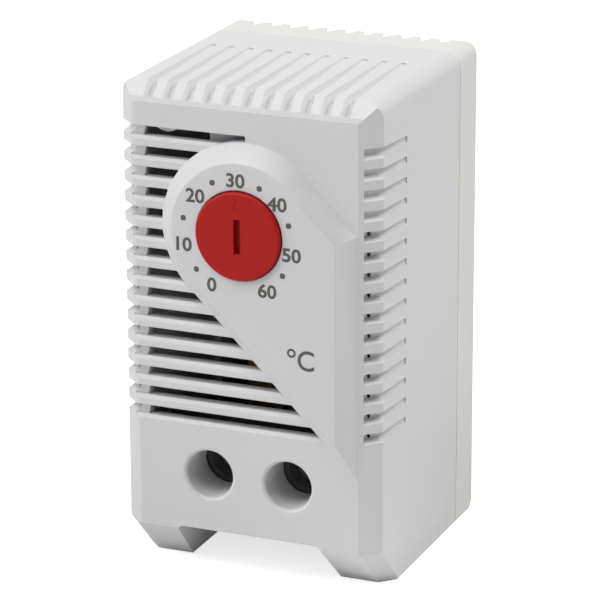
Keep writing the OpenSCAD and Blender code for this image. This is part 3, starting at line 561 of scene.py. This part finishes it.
class THERMOSTAT_OT_works(bpy.types.Operator):
    """Finish the metal works, the pusher and the springs inside the case"""

    bl_idname = "thermostat.works"
    bl_label = "Inner works"

    def execute(self, context):
        finishes = {
            # Turned brass: warm and fairly bright
            "brass": metal("Turned brass", srgb("#C9A557"), rough=0.3, grain=0.5 * MM),
            # Stamped brass: darker and duller, in broader patches
            "cage_brass": metal("Stamped brass", srgb("#B9994F"), rough=0.36, grain=0.8 * MM),
            # Zinc-plated sheet: cool, slightly cloudy
            "plated_steel": metal("Zinc plated steel", srgb("#B4B8BB"), rough=0.34, grain=1.2 * MM),
            # Drawn spring wire: darker grey, with a fine shine
            "spring_steel": metal("Drawn spring wire", srgb("#8E9297"), rough=0.28, grain=0.3 * MM),
            # Nickel silver upset into rivets: pale, faintly yellow
            "rivet_metal": metal("Upset nickel silver", srgb("#B9B19F"), rough=0.3, grain=0.6 * MM),
            # Rolled bimetal: warm grey, with rolling marks along the strip
            "bimetal": metal("Rolled bimetal strip", srgb("#A9A49B"), rough=0.3, grain=0.25 * MM,
                             stretch=(6, 1, 0.4)),
            # Rolled bronze: copper brown, with rolling marks along the spring
            "spring_bronze": metal("Rolled spring bronze", srgb("#C08D55"), rough=0.3, grain=0.3 * MM,
                                   stretch=(5, 1, 0.4)),
            # Silver: the palest and smoothest metal here
            "contact_silver": metal("Silver contact", srgb("#D9D7D0"), rough=0.25, grain=0.4 * MM),
            # White steatite: matt, with a fired grain that is drawn coarser, so that it shows
            "pusher_white": moulded("Fired steatite", srgb("#E6E2D8"), grit=0.12 * MM, rough=0.55,
                                    depth=0.01 * MM),
        }
        bodies = frame["record"]["behaviour"]["bodies"]
        home = {name: body for body, names in bodies.items() for name in names}
        for part in frame["record"]["subparts"]:
            name, slot = part["node"], part["material_slot"]
            if slot not in finishes:
                continue
            mesh = rounded_mesh(name, WORKS_EDGE, WORKS_STEPS, WORKS_SHORT)
            self.ease(mesh)
            bend = BENDS.get(name)
            if bend:
                start, end = bend[2:]
                self.cut(mesh, start * MM, end * MM)
            finish_piece(mesh, name + "_dressed", finishes[slot], home[name], [name], bend)
        return {"FINISHED"}

    def ease(self, mesh):
        """Draw the surface in by the hair gap."""
        mesh.normal_update()
        shifts = [vert.normal * HAIR_GAP for vert in mesh.verts]
        for vert, shift in zip(mesh.verts, shifts):
            vert.co -= shift

    def cut(self, mesh, start, end):
        """Cut across the mesh at even heights between two heights."""
        for i in range(BEND_CUTS):
            height = start + (end - start) * i / (BEND_CUTS - 1)
            parts = mesh.verts[:] + mesh.edges[:] + mesh.faces[:]
            bmesh.ops.bisect_plane(mesh, geom=parts, plane_co=(0, 0, height), plane_no=(0, 0, 1))


class THERMOSTAT_OT_stage(bpy.types.Operator):
    """Set the floor, the light and the camera"""

    bl_idname = "thermostat.stage"
    bl_label = "Stage"

    def execute(self, context):
        light = context.scene.thermostat_studio
        scene = context.scene
        scene.view_settings.view_transform = "Standard"
        self.world(scene, light.ambient)
        self.floor()
        for name, setting, at in LAMPS:
            self.lamp(name, getattr(light, setting), at)
        self.camera(scene)
        return {"FINISHED"}

    def shown(self, tree):
        """One for the rays that show the background: seen straight on, mirrored or through glass."""
        path = node(tree, "ShaderNodeLightPath").outputs
        seen = node(tree, "ShaderNodeMath", {0: path["Is Camera Ray"], 1: path["Is Glossy Ray"]},
                    operation="MAXIMUM")
        both = node(tree, "ShaderNodeMath", {0: seen.outputs[0], 1: path["Is Transmission Ray"]},
                    operation="MAXIMUM")
        return both.outputs[0]

    def world(self, scene, ambient):
        """Surround the scene with even light that shows as white."""
        world = bpy.data.worlds.new("Studio")
        world.use_nodes = True
        tree = world.node_tree
        tree.nodes.clear()
        even = node(tree, "ShaderNodeBackground", {"Color": (1, 1, 1, 1), "Strength": ambient})
        white = node(tree, "ShaderNodeBackground", {"Color": (1, 1, 1, 1), "Strength": 1.0})
        mix = node(tree, "ShaderNodeMixShader", {0: self.shown(tree), 1: even.outputs[0],
                                                 2: white.outputs[0]})
        node(tree, "ShaderNodeOutputWorld", {"Surface": mix.outputs[0]})
        scene.world = world

    def floor(self):
        """Lay the floor that the object stands on."""
        mesh = bmesh.new()
        bmesh.ops.create_grid(mesh, x_segments=1, y_segments=1, size=FLOOR_REACH)
        data = bpy.data.meshes.new("Floor")
        mesh.to_mesh(data)
        mesh.free()
        floor = bpy.data.objects.new("Floor", data)
        bpy.context.scene.collection.objects.link(floor)
        # Painted board: matt white, which keeps a faint shadow
        material, tree, output = new_material("White studio floor")
        matt = node(tree, "ShaderNodeBsdfDiffuse", {"Color": hex_linear("#F0F0F0")})
        path = node(tree, "ShaderNodeLightPath").outputs
        mirrored = node(tree, "ShaderNodeMath", {0: path["Is Glossy Ray"], 1: path["Is Transmission Ray"]},
                        operation="MAXIMUM")
        level = node(tree, "ShaderNodeMix", {"Factor": mirrored.outputs[0], 2: 0.0, 3: MIRRORED_GLOW})
        glow = node(tree, "ShaderNodeMix", {"Factor": path["Is Camera Ray"], 2: level.outputs[0],
                                            3: FLOOR_GLOW})
        white = node(tree, "ShaderNodeEmission", {"Color": (1, 1, 1, 1), "Strength": glow.outputs[0]})
        both = node(tree, "ShaderNodeAddShader", {0: matt.outputs[0], 1: white.outputs[0]})
        tree.links.new(both.outputs[0], output.inputs["Surface"])
        data.materials.append(material)

    def lamp(self, name, power, at):
        """Hang a softbox at a place and turn it to the object."""
        data = bpy.data.lights.new(name, "AREA")
        data.energy = power
        data.size = LAMP_WIDTH
        lamp = bpy.data.objects.new(name, data)
        lamp.location = at
        lamp.rotation_euler = (Vector(LAMP_AIM) - Vector(at)).to_track_quat("-Z", "Y").to_euler()
        bpy.context.scene.collection.objects.link(lamp)

    def camera(self, scene):
        """Set the camera at its angles and distance from its target."""
        turned, raised, roll = (math.radians(a) for a in (CAMERA_ROUND, CAMERA_UP, CAMERA_ROLL))
        target = place(*CAMERA_TARGET)
        back = Vector((math.sin(turned) * math.cos(raised), -math.cos(turned) * math.cos(raised),
                       math.sin(raised)))
        right = (-back).cross(Vector((0, 0, 1))).normalized()
        up = right.cross(-back)
        across = right * math.cos(roll) + up * math.sin(roll)
        upward = up * math.cos(roll) - right * math.sin(roll)
        data = bpy.data.cameras.new("Camera")
        data.sensor_width = CAMERA_SENSOR
        data.lens = CAMERA_LENS
        data.shift_x, data.shift_y = CAMERA_SHIFT
        data.clip_start = CAMERA_NEAREST
        camera = bpy.data.objects.new("Camera", data)
        turn = Matrix((across, upward, back)).transposed().to_4x4()
        camera.matrix_world = Matrix.Translation(target + back * (CAMERA_DISTANCE * MM)) @ turn
        scene.collection.objects.link(camera)
        scene.camera = camera


OPERATORS = (THERMOSTAT_OT_mouldings, THERMOSTAT_OT_knob, THERMOSTAT_OT_dial_print,
             THERMOSTAT_OT_works, THERMOSTAT_OT_stage)
GROUPS = {
    "thermostat_moulding": MouldingSettings,
    "thermostat_dial": DialSettings,
    "thermostat_studio": StudioSettings,
}


class THERMOSTAT_PT_panel(bpy.types.Panel):
    """Buttons and settings of the thermostat"""

    bl_label = "Thermostat"
    bl_idname = "THERMOSTAT_PT_panel"
    bl_space_type = "VIEW_3D"
    bl_region_type = "UI"
    bl_category = "Thermostat"

    def draw(self, context):
        for operator in OPERATORS:
            self.layout.operator(operator.bl_idname)
        for group in GROUPS:
            settings = getattr(context.scene, group)
            for name in settings.__annotations__:
                self.layout.prop(settings, name)


CLASSES = (*GROUPS.values(), *OPERATORS, THERMOSTAT_PT_panel)


def register():
    """Register the classes and put the settings on the scene."""
    for item in CLASSES:
        bpy.utils.register_class(item)
    for name, group in GROUPS.items():
        setattr(bpy.types.Scene, name, PointerProperty(type=group))


def unregister():
    """Take the settings off the scene and the classes out."""
    for name in GROUPS:
        delattr(bpy.types.Scene, name)
    for item in reversed(CLASSES):
        bpy.utils.unregister_class(item)


def main():
    """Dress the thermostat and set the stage."""
    register()
    bpy.ops.thermostat.mouldings()
    bpy.ops.thermostat.knob()
    bpy.ops.thermostat.dial_print()
    bpy.ops.thermostat.works()
    bpy.ops.thermostat.stage()


if __name__ == "__main__":
    main()
